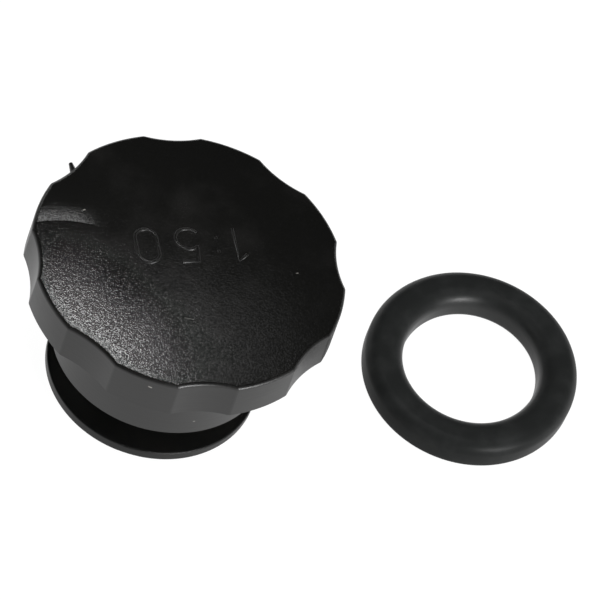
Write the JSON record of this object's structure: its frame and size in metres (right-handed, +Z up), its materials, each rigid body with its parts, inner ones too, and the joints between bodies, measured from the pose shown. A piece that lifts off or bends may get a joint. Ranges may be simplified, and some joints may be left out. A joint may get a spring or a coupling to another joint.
{
  "type": "fuel cap",
  "caption": "Expanding fuel tank cap: a scalloped grip screws down over a disc and squeezes a rubber seal ring, shown taken off, between its neck and the disc.",
  "frame": {"origin": "on the cap's axis, at the underside of the disc that it stands on", "axes": "+Z up along the cap's axis towards the grip, +X through the middle of a grip lobe"},
  "size_m": [0.0934, 0.0659, 0.0302],
  "materials": {
    "grip_plastic": "fine moulded grain, satin",
    "washer_plastic": "natural, smooth",
    "disc_plastic": "satin",
    "seal_rubber": "moulded, slightly waxy"
  },
  "bodies": {
    "disc": {"clamp_disc": "disc_plastic", "seal_ring": "seal_rubber"},
    "washer": {"thrust_washer": "washer_plastic"},
    "grip": {"grip_cap": "grip_plastic"}
  },
  "joints": [
    {"name": "draw", "type": "slide", "parent": "disc", "child": "washer", "axis": [0, 0, -1], "range_m": [0, 0.00158]},
    {"name": "grip_turn", "type": "hinge", "parent": "washer", "child": "grip", "pos_m": [0, 0, 0.00815], "axis": [0, 0, -1], "range_deg": [0, 162]}
  ],
  "couplings": [
    {"joint": "draw", "follows": "grip_turn", "m_per_rad": 0.00055704}
  ]
}
